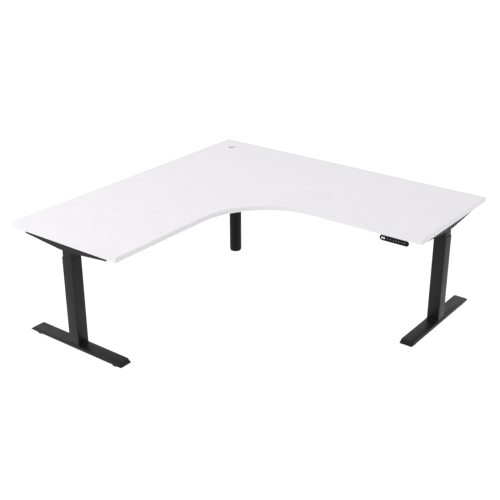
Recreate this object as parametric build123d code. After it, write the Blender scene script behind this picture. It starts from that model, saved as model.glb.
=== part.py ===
"""L-shaped, height adjustable standing desk on three motor-driven telescopic legs.

The frame is shown fully lowered.  Origin: on the floor, below the middle of the
worktop's outer square.  +Z is up, +X runs along the right arm's wall edge, and the
wall corner of the L is at (-X, +Y).
"""
from build123d import *
import os

os.makedirs("parts", exist_ok=True)

# ---- worktop -------------------------------------------------------------------
ARM_LENGTH = 1800.0       # each wall edge of the L
ARM_DEPTH = 750.0         # wall edge to front edge
TOP_THICKNESS = 25.0
INNER_RADIUS = 410.0      # the concave curve where the two front edges meet
CORNER_RADIUS = 6.0
BAND_THICKNESS = 2.0      # edge band
BAND_EASING = 1.2

# ---- lifting frame ----------------------------------------------------------------
FRAME_HEIGHT = 620.0      # underside of the worktop, fully lowered
STAGE_TRAVEL = 325.0      # each of the two telescopic stages
COLUMN_INSET = 71.3       # outer end of an arm to the middle of its column
COLUMN_SETBACK = 361.7    # wall edge to the middle of a column
POST_INSET = 240.0        # both wall edges to the middle of the corner leg
COLUMN_SIZE = 70.0        # square outer tube
COLUMN_CORNER = 4.0
POST_RADIUS = 37.5
COLUMN_TOP = 523.0        # top of the outer tube
MIDDLE_TOP = 565.0        # top of the middle tube, fully lowered
TUBE_WALL = 2.0
BUSH_THICKNESS = 1.7
SLIDE_GAP = 0.3           # all round, between parts that slide
INNER_WALL = 1.8
GUIDE_LENGTH = 35.0
LIP = 1.5                 # the guide's collar on the rim of the outer tube

# ---- spindle drive -------------------------------------------------------------------
SPINDLE_RADIUS = 7.0
HOLLOW_RADIUS = 11.0
POST_TUBE_RADIUS = 17.0
NUT_HEIGHT = 20.0
THREAD_GAP = 0.05
DRIVE_BOTTOM = 573.0      # underside of the gear housing
DRIVE_TOP = 617.0
MOTOR_RADIUS = 21.0
MOTOR_LENGTH = 112.0

# ---- feet -------------------------------------------------------------------------------
FOOT_LENGTH = 680.0
FOOT_WIDTH = 75.0
FOOT_TOP = 31.0
FOOT_BOTTOM = 13.0
FOOT_SLOPE = 22.0         # length of each sloped end
FOOT_SHEET = 3.0
FOOT_BEND = 2.0           # outer radius of the long folds
GLIDE_OFFSET = 282.0
GLIDE_RADIUS = 30.0
GLIDE_STEM = 4.0

# ---- brackets and beams --------------------------------------------------------------------
BRACKET_LENGTH = 586.0
BRACKET_WIDTH = 80.0
BRACKET_DEPTH = 54.0      # in the middle
BRACKET_END_DEPTH = 29.5
BRACKET_FLAT = 40.0       # half of the level run below the column's sides
BRACKET_TIP = 3.0
BRACKET_SCREWS = (-250.0, -130.0, 130.0, 250.0)
SHEET = 3.0
BEAM_OFFSET = 100.0       # each beam to the line between the columns
SLEEVE = (30.0, 40.0)
SLEEVE_TOP = 618.0
SLEEVE_LENGTH = 600.0
RAIL_OVERLAP = 180.0
HUB_EDGE = 400.0          # the two inner sides of the corner plate
HUB_OUTER = 735.0
SCREW_RADIUS = 2.5
SCREW_HEAD = 5.0
SCREW_BITE = 18.0         # screw length inside the worktop

# ---- grommet, handset, control box ----------------------------------------------------------
GROMMET_INSET = 134.0
GROMMET_HOLE = 30.0
GROMMET_FLANGE = 39.0
GROMMET_PROUD = 1.5
GROMMET_REBATE = 0.8      # shallow seat for the flange
CABLE_SLOT = 15.0
HANDSET_LENGTH = 165.0
HANDSET_HEIGHT = 30.0
HANDSET_DEPTH = 22.0
HANDSET_PLATE = 5.0       # full-size plate in front of the shorter body
HANDSET_SETBACK = 14.0    # body's ends to the plate's
HANDSET_FROM_END = 155.0
KEY_RADIUS = 4.6
KEY_PITCH = 15.6
KEY_NAMES = ("key_up", "key_down", "key_1", "key_2", "key_3", "key_4", "key_store")
BOX_SIZE = (240.0, 100.0, 38.0)
BOX_CENTRE_X = 320.0
LEAD_RADIUS = 3.0
LEAD_LEVEL = 610.0

half = ARM_LENGTH / 2
front = half - ARM_DEPTH                    # front edge of the right arm, in Y
top_surface = FRAME_HEIGHT + TOP_THICKNESS
row = half - COLUMN_SETBACK                 # line of the columns, from the middle
reach = half - COLUMN_INSET
corner = half - POST_INSET
grommet = half - GROMMET_INSET
pipe = SLIDE_GAP + BUSH_THICKNESS + TUBE_WALL          # outer tube to middle tube

LEFT = Location((-row, -reach, 0))
RIGHT = Location((reach, row, 0), (0, 0, 90))
CORNER = Location((-corner, corner, 0), (0, 0, 180))


def disc(radius, low, high, x=0.0, y=0.0):
    """Upright cylinder between two heights."""
    return Pos(x, y, low) * extrude(Circle(radius), amount=high - low)


def slab(x0, x1, y0, y1, z0, z1):
    """Block between two opposite corners."""
    return Pos((x0 + x1) / 2, (y0 + y1) / 2, (z0 + z1) / 2) * Box(x1 - x0, y1 - y0, z1 - z0)


def square_section(grow):
    """Rounded square of the T-legs' outer tube, grown by an offset."""
    size = COLUMN_SIZE + 2 * grow
    return RectangleRounded(size, size, max(COLUMN_CORNER + grow, 1.0))


def round_section(grow):
    """Circle of the corner leg's outer tube, grown by an offset."""
    return Circle(POST_RADIUS + grow)


def tube(section, outside, wall, low, high):
    """Straight tube with the given outer offset and wall."""
    profile = section(outside) - section(outside - wall)
    return Pos(0, 0, low) * extrude(profile, amount=high - low)


# ---- one leg, about its own axis: X along the foot, +Y towards the other legs ------------------
def outer_tube(section, low):
    """Standing tube with a welded bottom plate, bored for the levelling stem."""
    plate = Pos(0, 0, low) * extrude(section(-TUBE_WALL), amount=4)
    return tube(section, 0, TUBE_WALL, low, COLUMN_TOP) + plate - disc(GLIDE_STEM + 1.05, low, low + 4)


def outer_bush(section):
    """Plastic guide in the mouth of the outer tube, with a collar on its rim."""
    sleeve = tube(section, -TUBE_WALL, BUSH_THICKNESS, COLUMN_TOP - GUIDE_LENGTH, COLUMN_TOP)
    return sleeve + tube(section, 0, pipe - SLIDE_GAP, COLUMN_TOP, COLUMN_TOP + LIP)


def middle_tube(section):
    """Second stage, which reaches up between the bracket's walls when lowered."""
    return tube(section, -pipe, TUBE_WALL, FOOT_TOP + 15, MIDDLE_TOP)


def inner_tube(section):
    """Third stage, which carries the gear housing."""
    outside = -pipe - TUBE_WALL - SLIDE_GAP
    return tube(section, outside, INNER_WALL, FOOT_TOP + 22, DRIVE_BOTTOM)


def nut_post(low):
    """Tube standing on the bottom plate, closed at its top by the lower spindle nut."""
    nut_low = FOOT_TOP + STAGE_TRAVEL + 25
    post = disc(POST_TUBE_RADIUS, low, nut_low + NUT_HEIGHT)
    post -= disc(POST_TUBE_RADIUS - 4, low, nut_low)
    return post - disc(HOLLOW_RADIUS + THREAD_GAP, nut_low, nut_low + NUT_HEIGHT)


def lower_spindle():
    """Hollow screw that climbs through the post's nut; its head is the upper screw's nut."""
    low = FOOT_TOP + 20
    head = FOOT_TOP + STAGE_TRAVEL + 57
    screw = disc(HOLLOW_RADIUS, low, head) + disc(HOLLOW_RADIUS + 4, head, head + NUT_HEIGHT)
    screw -= disc(SPINDLE_RADIUS + 1, low, head)
    return screw - disc(SPINDLE_RADIUS + THREAD_GAP, head, head + NUT_HEIGHT)


def upper_spindle():
    """Solid screw hanging in the gear housing's bearing."""
    return disc(SPINDLE_RADIUS, FOOT_TOP + 30, DRIVE_BOTTOM + 20)


def gear_housing():
    """Die-cast housing on the inner tube, with the spindle's bearing bore below."""
    body = Pos(0, 2, DRIVE_BOTTOM) * extrude(RectangleRounded(64, 68, 6), amount=DRIVE_TOP - DRIVE_BOTTOM)
    body = chamfer(body.edges().group_by(Axis.Z)[0], 0.8)
    return body - disc(SPINDLE_RADIUS + THREAD_GAP, DRIVE_BOTTOM, DRIVE_BOTTOM + 20.5)


def motor():
    """Motor can with its end cap, flanged to the inboard side of the gear housing."""
    middle = (DRIVE_BOTTOM + DRIVE_TOP) / 2
    can = Pos(0, 36, middle) * Rot(-90, 0, 0) * extrude(Circle(MOTOR_RADIUS), amount=MOTOR_LENGTH)
    cap = Pos(0, 36 + MOTOR_LENGTH, middle) * Rot(-90, 0, 0) * extrude(Circle(MOTOR_RADIUS - 4), amount=6)
    return can + cap


def foot():
    """Folded sheet foot, open below, with sloped ends and two threaded glide bosses."""
    shell = foot_block(0) - foot_block(FOOT_SHEET)
    for side in (-1, 1):
        x = side * GLIDE_OFFSET
        boss = disc(9, FOOT_BOTTOM, FOOT_TOP - FOOT_SHEET, x)
        shell = shell + boss - disc(GLIDE_STEM + THREAD_GAP, FOOT_BOTTOM, FOOT_TOP - FOOT_SHEET, x)
    return shell


def foot_block(inset):
    """Solid in the foot's outline, shrunk by an inset from all but its open bottom."""
    long_half = FOOT_LENGTH / 2 - inset * 1.25
    flat_half = FOOT_LENGTH / 2 - FOOT_SLOPE - inset * 0.4
    high = FOOT_TOP - inset
    low = FOOT_BOTTOM
    outline = Polyline(
        (-long_half, low), (-long_half, low + 2), (-flat_half, high),
        (flat_half, high), (long_half, low + 2), (long_half, low), close=True,
    )
    block = extrude(Plane.XZ * make_face(outline), amount=FOOT_WIDTH / 2 - inset, both=True)
    long_edges = block.edges().filter_by(Axis.X).group_by(Axis.Z)[-1]
    return fillet(long_edges, FOOT_BEND if inset == 0 else 0.5)


def glide(x, radius, stem, pad, reach_up):
    """Levelling foot: a pad with a rounded rim and a threaded stem."""
    body = disc(radius, 0, pad, x)
    body = fillet(body.edges().group_by(Axis.Z)[-1], 2.0)
    body = chamfer(body.edges().group_by(Axis.Z)[0], 1.0)
    return body + disc(stem, pad, reach_up, x)


def bracket_flange(y0, y1):
    """One side wall of the bracket, which tapers straight from the column to both ends."""
    end = BRACKET_LENGTH / 2
    high = FRAME_HEIGHT
    outline = Polyline(
        (-end, high), (-end, high - BRACKET_END_DEPTH), (-BRACKET_FLAT, high - BRACKET_DEPTH),
        (BRACKET_FLAT, high - BRACKET_DEPTH), (end, high - BRACKET_END_DEPTH), (end, high), close=True,
    )
    wall = extrude(Plane.XZ.offset(-y1) * make_face(outline), amount=y1 - y0)
    tips = wall.edges().filter_by(Axis.Y).group_by(Axis.X)
    return fillet([tips[0].sort_by(Axis.Z)[0], tips[-1].sort_by(Axis.Z)[0]], BRACKET_TIP)


def side_bracket():
    """Channel across the arm: web against the worktop, two tapered walls, motor notch."""
    edge = BRACKET_WIDTH / 2
    web = slab(-BRACKET_LENGTH / 2, BRACKET_LENGTH / 2, -edge, edge, FRAME_HEIGHT - SHEET, FRAME_HEIGHT)
    channel = web + bracket_flange(-edge, -edge + SHEET) + bracket_flange(edge - SHEET, edge)
    channel -= slab(-26, 26, edge - SHEET, edge, 560, FRAME_HEIGHT - SHEET)
    for x in BRACKET_SCREWS:
        channel -= disc(SCREW_RADIUS + THREAD_GAP, FRAME_HEIGHT - SHEET, FRAME_HEIGHT, x)
    return channel


# ---- frame between the legs ------------------------------------------------------------------
def beam(width, height, wall, low, y0, y1):
    """Rectangular tube along Y with its underside at a height."""
    return slab(-width / 2, width / 2, y0, y1, low, low + height) - slab(
        -width / 2 + wall, width / 2 - wall, y0, y1, low + wall, low + height - wall
    )


def mirrored_pair(make):
    """The same part at both beam offsets on the left arm, and again on the right arm."""
    left = [Pos(-row + side * BEAM_OFFSET, 0, 0) * make() for side in (-1, 1)]
    right = [Rot(0, 0, 90) * Pos(-row + side * BEAM_OFFSET, 0, 0) * make() for side in (-1, 1)]
    return left, [mirror(part, about=Plane.XZ) for part in right]


def beam_sleeve():
    """Outer beam, welded to the corner plate."""
    return beam(*SLEEVE, 2.0, SLEEVE_TOP - SLEEVE[1], HUB_EDGE - SLEEVE_LENGTH, HUB_EDGE)


def beam_rail():
    """Inner beam, which slides in the sleeve to set the desk's width."""
    low = SLEEVE_TOP - SLEEVE[1] + 2.0
    start = -reach + BRACKET_WIDTH / 2
    end = HUB_EDGE - SLEEVE_LENGTH + RAIL_OVERLAP
    return beam(SLEEVE[0] - 4.6, SLEEVE[1] - 4.6, 2.0, low, start, end)


def corner_hub():
    """Folded corner plate that joins the two pairs of beams and the corner leg."""
    low = FRAME_HEIGHT - SHEET
    plate = slab(-HUB_OUTER, -HUB_EDGE, HUB_EDGE, HUB_OUTER, low, FRAME_HEIGHT)
    beam_low = SLEEVE_TOP - SLEEVE[1]
    plate += slab(-HUB_OUTER, -HUB_EDGE, HUB_EDGE, HUB_EDGE + SHEET, beam_low, low)
    plate += slab(-HUB_EDGE - SHEET, -HUB_EDGE, HUB_EDGE, HUB_OUTER, beam_low, low)
    plate += slab(-HUB_OUTER, -HUB_OUTER + SHEET, HUB_EDGE, HUB_OUTER, low - 12, low)
    plate += slab(-HUB_OUTER, -HUB_EDGE, HUB_OUTER - SHEET, HUB_OUTER, low - 12, low)
    plate -= slab(-row - 35, -row + 35, HUB_EDGE, HUB_EDGE + SHEET, 596, low)
    plate -= slab(-HUB_EDGE - SHEET, -HUB_EDGE, row - 35, row + 35, 596, low)
    for x, y in HUB_SCREWS:
        plate -= disc(SCREW_RADIUS + THREAD_GAP, low, FRAME_HEIGHT, x, y)
    return plate


hub_near = HUB_EDGE + 25
hub_far = HUB_OUTER - 22
HUB_SCREWS = [(-x, y) for x in (hub_near, hub_far) for y in (hub_near, hub_far)]


# ---- worktop ---------------------------------------------------------------------------------
def worktop_outline(inset):
    """L-shaped face, shrunk by an inset, with its concave front curve."""
    edge = half - inset
    inner = front + inset
    hollow = (-inner, inner)
    outer = [(-edge, -edge), (-inner, -edge), (edge, inner), (edge, edge), (-edge, edge)]
    face = make_face(Polyline(*outer[:2], hollow, *outer[2:], close=True))
    face = fillet(face.vertices().sort_by_distance(hollow)[0], INNER_RADIUS + inset)
    sharp = [face.vertices().sort_by_distance(point)[0] for point in outer]
    return fillet(sharp, CORNER_RADIUS - inset)


def worktop_panel():
    """Core board with the grommet's hole and rebate, and the frame's pilot holes."""
    panel = Pos(0, 0, FRAME_HEIGHT) * extrude(worktop_outline(BAND_THICKNESS), amount=TOP_THICKNESS)
    panel -= disc(GROMMET_HOLE, FRAME_HEIGHT, top_surface, -grommet, grommet)
    panel -= disc(GROMMET_FLANGE + 0.2, top_surface - GROMMET_REBATE, top_surface, -grommet, grommet)
    for x, y, _ in screw_places():
        panel -= disc(SCREW_RADIUS + THREAD_GAP, FRAME_HEIGHT, FRAME_HEIGHT + SCREW_BITE + 1, x, y)
    return panel


def edge_banding():
    """Band glued round the board, with eased edges."""
    outer = Pos(0, 0, FRAME_HEIGHT) * extrude(worktop_outline(0), amount=TOP_THICKNESS)
    rims = outer.edges().group_by(Axis.Z)
    outer = fillet(rims[0] + rims[-1], BAND_EASING)
    return outer - Pos(0, 0, FRAME_HEIGHT) * extrude(worktop_outline(BAND_THICKNESS), amount=TOP_THICKNESS)


def grommet_ring():
    """Liner through the board, with a flange that sits in the rebate."""
    low = top_surface - 20
    high = top_surface + GROMMET_PROUD
    ring = disc(GROMMET_HOLE, low, high) + disc(GROMMET_FLANGE, top_surface - GROMMET_REBATE, high)
    ring = fillet(ring.edges().group_by(Axis.Z)[-1], 1.2)
    ring -= disc(GROMMET_HOLE - 2, low + 14, high)
    ring -= disc(GROMMET_HOLE - 5, low, high)
    return Pos(-grommet, grommet, 0) * ring


def grommet_cap():
    """Cap that turns in the liner, with a cable slot at its rim."""
    low = top_surface - 6 + SLIDE_GAP
    cap = disc(GROMMET_HOLE - 2 - SLIDE_GAP, low, top_surface + 0.5)
    cap = fillet(cap.edges().group_by(Axis.Z)[-1], 0.8)
    cap -= disc(CABLE_SLOT, low, top_surface + 1, 0, -GROMMET_HOLE + CABLE_SLOT - 6)
    return Pos(-grommet, grommet, 0) * cap


# ---- handset -----------------------------------------------------------------------------------
handset_x = half - HANDSET_FROM_END
handset_z = FRAME_HEIGHT - HANDSET_HEIGHT / 2
FRONT_FACE = Plane(origin=(handset_x, front, handset_z), x_dir=(1, 0, 0), z_dir=(0, -1, 0))
WINDOW = (-62.0, 24.0, 12.0)       # centre along the handset, width, height
first_key = -36.0


def key_places():
    """Key centres along the handset, one for each name."""
    return [first_key + KEY_PITCH * i for i in range(len(KEY_NAMES))]


def handset_case():
    """Pill-shaped plate on a shorter body, with a fixing flange and recesses for window and keys."""
    pill = extrude(FRONT_FACE * SlotOverall(HANDSET_LENGTH, HANDSET_HEIGHT), amount=-HANDSET_PLATE)
    pill = fillet(pill.edges().group_by(Axis.Y)[0], 1.5)
    behind = SlotOverall(HANDSET_LENGTH - 2 * HANDSET_SETBACK, HANDSET_HEIGHT - 3)
    pill += extrude(FRONT_FACE.offset(-HANDSET_PLATE) * behind, amount=HANDSET_PLATE - HANDSET_DEPTH)
    back = front + HANDSET_DEPTH
    pill += slab(handset_x - 60, handset_x + 60, front + 10, back + 26, FRAME_HEIGHT - SHEET, FRAME_HEIGHT)
    centre, width, height = WINDOW
    pill -= extrude(FRONT_FACE * Pos(centre, 0) * RectangleRounded(width, height, 2), amount=-2)
    for x in key_places():
        pill -= extrude(FRONT_FACE * Pos(x, 0) * Circle(KEY_RADIUS + SLIDE_GAP), amount=-4)
    for x, y in HANDSET_SCREWS:
        pill -= disc(SCREW_RADIUS + THREAD_GAP, FRAME_HEIGHT - SHEET, FRAME_HEIGHT, x, y)
    return pill


HANDSET_SCREWS = [(handset_x + side * 48, front + HANDSET_DEPTH + 14) for side in (-1, 1)]


def display_window():
    """Clear window over the height display, flush with the handset's face."""
    centre, width, height = WINDOW
    return extrude(FRONT_FACE * Pos(centre, 0) * RectangleRounded(width, height, 2), amount=-2)


def key(x):
    """Round key, standing 0.6 mm proud of the face and 3 mm deep in its recess."""
    button = extrude(FRONT_FACE.offset(0.6) * Pos(x, 0) * Circle(KEY_RADIUS), amount=-3)
    return fillet(button.edges().group_by(Axis.Y)[0], 0.3)


# ---- control box and leads ------------------------------------------------------------------------
box_x = (BOX_CENTRE_X - BOX_SIZE[0] / 2, BOX_CENTRE_X + BOX_SIZE[0] / 2)
box_y = (row - BOX_SIZE[1] / 2, row + BOX_SIZE[1] / 2)
box_low = FRAME_HEIGHT - BOX_SIZE[2]
BOX_SCREWS = [(box_x[0] - 9, row + 40), (box_x[1] + 9, row + 40)]
INLET = (box_x[1] - 60, 20.0, 12.0, 14.0)      # place along the box, width, height, depth


def control_box():
    """Closed electronics case with two screw ears and the mains inlet in its wall side."""
    case = slab(*box_x, *box_y, box_low, FRAME_HEIGHT)
    case = fillet(case.edges().filter_by(Axis.Z), 6)
    case = chamfer(case.edges().group_by(Axis.Z)[0], 2)
    for x, y in BOX_SCREWS:
        inner = min(max(x, box_x[0] + 4), box_x[1] - 4)
        low_x, high_x = sorted((inner, x + (9 if x > inner else -9)))
        case += slab(low_x, high_x, y - 9, y + 9, FRAME_HEIGHT - SHEET, FRAME_HEIGHT)
        case -= disc(SCREW_RADIUS + THREAD_GAP, FRAME_HEIGHT - SHEET, FRAME_HEIGHT, x, y)
    x, width, height, depth = INLET
    middle = box_low + BOX_SIZE[2] / 2
    return case - slab(x - width / 2, x + width / 2, box_y[1] - depth, box_y[1], middle - height / 2, middle + height / 2)


def lead(points, radii):
    """Round lead along straight runs joined by tangent arcs."""
    path = FilletPolyline(*points, radius=radii)
    start = Plane(origin=path @ 0, z_dir=path % 0)
    return sweep(start * Circle(LEAD_RADIUS), path=path)


motor_level = (DRIVE_BOTTOM + DRIVE_TOP) / 2
motor_reach = 36 + MOTOR_LENGTH + 6
run_left = row - 12                  # the left lead's line along the right arm
run_corner = row + 12


def left_lead():
    """From the left motor along the left arm and round the corner to the control box."""
    start = -reach + motor_reach
    return lead(
        [(-row, start, motor_level), (-row, start + 45, motor_level), (-row, start + 105, LEAD_LEVEL),
         (-row, HUB_EDGE + 5, LEAD_LEVEL), (-row + 90, run_left, LEAD_LEVEL), (box_x[0], run_left, LEAD_LEVEL)],
        [60, 60, 80, 80],
    )


def corner_lead():
    """From the corner motor through the corner plate's window to the control box."""
    start = corner - motor_reach
    return lead(
        [(-corner, start, motor_level), (-corner, start - 24, motor_level), (-corner + 55, start - 40, LEAD_LEVEL - 4),
         (-row + 75, run_corner, LEAD_LEVEL), (box_x[0], run_corner, LEAD_LEVEL)],
        [16, 30, 80],
    )


def right_lead():
    """Short lead from the right motor to the other end of the control box."""
    start = reach - motor_reach
    return lead(
        [(start, row, motor_level), (start - 45, row, motor_level), (start - 110, row, LEAD_LEVEL),
         (box_x[1], row, LEAD_LEVEL)],
        [60, 60],
    )


def handset_lead():
    """From the back of the handset, under the front beam, to the control box."""
    start = front + HANDSET_DEPTH
    under = SLEEVE_TOP - SLEEVE[1] - 8
    beam_y = row - BEAM_OFFSET
    return lead(
        [(handset_x - 40, start, handset_z), (handset_x - 40, start + 50, handset_z),
         (handset_x - 60, beam_y - 60, under), (handset_x - 110, beam_y + 35, under),
         (box_x[1] + 60, row - 34, LEAD_LEVEL), (box_x[1], row - 34, LEAD_LEVEL)],
        [60, 50, 50, 50],
    )


CLIPS = (
    [(-row, y, 0) for y in (-420.0, -140.0, 140.0)]
    + [(x, run_left, 90) for x in (-270.0, -60.0)]
    + [(x, run_corner, 90) for x in (-270.0, -60.0)]
    + [(reach - motor_reach - 150, row, 90)]
)


def lead_clip(x, y, angle):
    """Saddle on the worktop's underside, with the lead through it."""
    block = slab(-8, 8, -5, 5, LEAD_LEVEL - LEAD_RADIUS - 2, FRAME_HEIGHT)
    block = fillet(block.edges().filter_by(Axis.Y).group_by(Axis.Z)[0], 4)
    bore = Pos(0, -5, LEAD_LEVEL) * Rot(-90, 0, 0) * extrude(Circle(LEAD_RADIUS + 0.4), amount=10)
    return Pos(x, y, 0) * Rot(0, 0, angle) * (block - bore)


# ---- fasteners --------------------------------------------------------------------------------------
def screw_places():
    """Every worktop screw: x, y and the thickness of the metal or plastic under its head."""
    places = [(x, y, SHEET) for x, y in HUB_SCREWS]
    places += [(x, y, SHEET) for x, y in HANDSET_SCREWS + BOX_SCREWS]
    for leg in (LEFT, RIGHT):
        spots = [(leg * Location((x, 0, 0))).position for x in BRACKET_SCREWS]
        places += [(spot.X, spot.Y, SHEET) for spot in spots]
    return places


def worktop_screws():
    """Pan-head screws up through the frame into the board."""
    screws = []
    for x, y, under in screw_places():
        seat = FRAME_HEIGHT - under
        head = disc(SCREW_HEAD, seat - 3.2, seat, x, y)
        head = fillet(head.edges().group_by(Axis.Z)[0], 1.4)
        screws.append(head + disc(SCREW_RADIUS, seat, FRAME_HEIGHT + SCREW_BITE, x, y))
    return screws


def beam_bolts():
    """Hexagon bolts that clamp each rail in its sleeve, from below."""
    low = SLEEVE_TOP - SLEEVE[1]
    spot = HUB_EDGE - SLEEVE_LENGTH + 40
    left, right = mirrored_pair(lambda: Pos(0, spot, low - 4) * extrude(RegularPolygon(5.5, 6), amount=4))
    return left + right


def export(name, shape):
    """One STEP file for a node: a solid, or a group of like solids."""
    if isinstance(shape, list):
        shape = Compound(children=[solid for part in shape for solid in part.solids()])
    export_step(shape, f"parts/{name}.step")


def export_leg(name, place, section, low):
    """All the parts of one telescopic column and its drive."""
    export(f"{name}_outer_tube", place * outer_tube(section, low))
    export(f"{name}_outer_bush", place * outer_bush(section))
    export(f"{name}_nut_post", place * nut_post(low + 4))
    export(f"{name}_middle_tube", place * middle_tube(section))
    export(f"{name}_lower_spindle", place * lower_spindle())
    export(f"{name}_inner_tube", place * inner_tube(section))
    export(f"{name}_upper_spindle", place * upper_spindle())
    export(f"{name}_gear_housing", place * gear_housing())
    export(f"{name}_motor", place * motor())


export_leg("left", LEFT, square_section, FOOT_TOP)
export_leg("right", RIGHT, square_section, FOOT_TOP)
export_leg("corner", CORNER, round_section, 10.0)
export("corner_foot", CORNER * glide(0, 34.0, GLIDE_STEM + 1, 9.0, 32.0))
for side_name, place in (("left", LEFT), ("right", RIGHT)):
    export(f"{side_name}_foot", place * foot())
    export(f"{side_name}_bracket", place * side_bracket())
    export(f"{side_name}_glide_front", place * glide(GLIDE_OFFSET, GLIDE_RADIUS, GLIDE_STEM, 9.0, 25.0))
    export(f"{side_name}_glide_back", place * glide(-GLIDE_OFFSET, GLIDE_RADIUS, GLIDE_STEM, 9.0, 25.0))

export("corner_hub", corner_hub())
sleeves_left, sleeves_right = mirrored_pair(beam_sleeve)
rails_left, rails_right = mirrored_pair(beam_rail)
export("beam_sleeves", sleeves_left + sleeves_right)
export("beam_rails", rails_left + rails_right)
export("beam_bolts", beam_bolts())
export("worktop_panel", worktop_panel())
export("edge_banding", edge_banding())
export("worktop_screws", worktop_screws())
export("grommet_ring", grommet_ring())
export("grommet_cap", grommet_cap())
export("handset_case", handset_case())
export("display_window", display_window())
for key_name, key_x in zip(KEY_NAMES, key_places()):
    export(key_name, key(key_x))
export("control_box", control_box())
export("left_motor_lead", left_lead())
export("corner_motor_lead", corner_lead())
export("right_motor_lead", right_lead())
export("handset_lead", handset_lead())
export("lead_clips", [lead_clip(*spot) for spot in CLIPS])
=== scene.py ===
import math

import bmesh
import bpy
import numpy as np
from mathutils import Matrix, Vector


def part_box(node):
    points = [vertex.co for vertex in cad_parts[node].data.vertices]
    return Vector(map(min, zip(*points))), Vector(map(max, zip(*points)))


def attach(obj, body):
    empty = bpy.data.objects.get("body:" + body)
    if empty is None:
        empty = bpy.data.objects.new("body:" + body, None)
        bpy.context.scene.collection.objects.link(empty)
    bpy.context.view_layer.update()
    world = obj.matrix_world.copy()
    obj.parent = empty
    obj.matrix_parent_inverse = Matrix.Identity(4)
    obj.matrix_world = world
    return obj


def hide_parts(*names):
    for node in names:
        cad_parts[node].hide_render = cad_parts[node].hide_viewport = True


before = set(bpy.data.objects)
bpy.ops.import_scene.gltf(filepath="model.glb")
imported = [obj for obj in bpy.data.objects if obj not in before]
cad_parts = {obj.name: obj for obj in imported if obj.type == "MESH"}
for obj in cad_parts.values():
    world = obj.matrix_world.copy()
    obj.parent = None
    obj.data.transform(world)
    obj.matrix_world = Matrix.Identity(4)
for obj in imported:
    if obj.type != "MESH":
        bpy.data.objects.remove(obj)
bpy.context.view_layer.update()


# ---- The place it stands -------------------------------------------------------------
# A pale seamless studio floor under an even white tent of light, with one large
# softbox on the left.  The floor gives off some light itself, as a lit acrylic floor
# does, so the desk throws hardly any shadow.
scene = bpy.context.scene
scene.view_settings.view_transform = "Standard"


class Value:
    """A shader socket that arithmetic adds Math nodes to."""

    def __init__(self, tree, socket):
        self.tree = tree
        self.socket = socket

    def math(self, operation, *terms):
        node = self.tree.nodes.new("ShaderNodeMath")
        node.operation = operation
        for socket, term in zip(node.inputs, terms):
            join(self.tree, term, socket)
        return Value(self.tree, node.outputs[0])

    def __add__(self, other):
        return self.math("ADD", self, other)

    def __sub__(self, other):
        return self.math("SUBTRACT", self, other)

    def __rsub__(self, other):
        return self.math("SUBTRACT", other, self)

    def __mul__(self, other):
        return self.math("MULTIPLY", self, other)

    __radd__ = __add__
    __rmul__ = __mul__


def join(tree, term, socket):
    """Link a value to a socket, or set the socket's own value."""
    if isinstance(term, Value):
        tree.links.new(term.socket, socket)
    else:
        socket.default_value = term


class Finish:
    """One material: its shader's own values, and the nodes that vary them."""

    def __init__(self, name, **own):
        self.material = bpy.data.materials.new(name)
        self.material.use_nodes = True
        self.tree = self.material.node_tree
        self.tree.nodes.clear()
        self.shader = self.tree.nodes.new("ShaderNodeBsdfPrincipled")
        output = self.tree.nodes.new("ShaderNodeOutputMaterial")
        self.tree.links.new(self.shader.outputs[0], output.inputs["Surface"])
        self.feed(**own)

    def feed(self, **sockets):
        """Set or link the shader's sockets, each named with _ for a space."""
        for name, term in sockets.items():
            join(self.tree, term, self.shader.inputs[name.replace("_", " ")])

    def node(self, kind, settings, sockets, out=0):
        """A node of a type, with its settings made first and then its sockets filled."""
        node = self.tree.nodes.new("ShaderNode" + kind)
        for name, setting in settings.items():
            setattr(node, name, setting)
        for name, term in sockets.items():
            join(self.tree, term, node.inputs[name])
        return Value(self.tree, node.outputs[out])

    def noise(self, scale, detail=2.0, stretch=(1, 1, 1)):
        """Soft random field, 0 to 1, with so many cells to a metre on an axis of stretch 1."""
        where = self.node("TexCoord", {}, {}, "Object")
        where = self.node("Mapping", {}, {"Vector": where, "Scale": stretch})
        return self.node("TexNoise", {}, {"Vector": where, "Scale": scale, "Detail": detail})

    def bump(self, height, depth):
        """Raise and sink the surface by a depth in metres, as a height field from 0 to 1 says."""
        self.feed(Normal=self.node("Bump", {}, {"Height": height, "Distance": depth}))

    def blend(self, mask, low, high):
        """Colour that runs from low to high with a mask."""
        return self.node("Mix", {"data_type": "RGBA"}, {0: mask, 6: low, 7: high}, 2)


def spread(value, low, high):
    """A noise value, which keeps near its middle, opened out to a range."""
    return (value - 0.3) * ((high - low) / 0.4) + low


def skin(rings, wrap=False):
    """Closed skin over rings of points, shaped (stations, points round, 3).

    Point (i, j) joins (i, j + 1), (i + 1, j + 1) and (i + 1, j).  Rings run round
    anticlockwise as seen from where the stations lead, so faces look outwards.  With
    wrap the last ring joins the first; otherwise each end is closed by one flat face.
    """
    stations, round_count = rings.shape[:2]
    index = np.arange(stations * round_count).reshape(stations, round_count)
    ahead = np.roll(index, -1, axis=0) if wrap else index[1:]
    here = index if wrap else index[:-1]
    quads = np.stack([here, np.roll(here, -1, 1), np.roll(ahead, -1, 1), ahead], -1)
    faces = quads.reshape(-1, 4).tolist()
    if not wrap:
        faces += [index[0, ::-1].tolist(), index[-1].tolist()]
    return rings.reshape(-1, 3), faces


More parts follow.
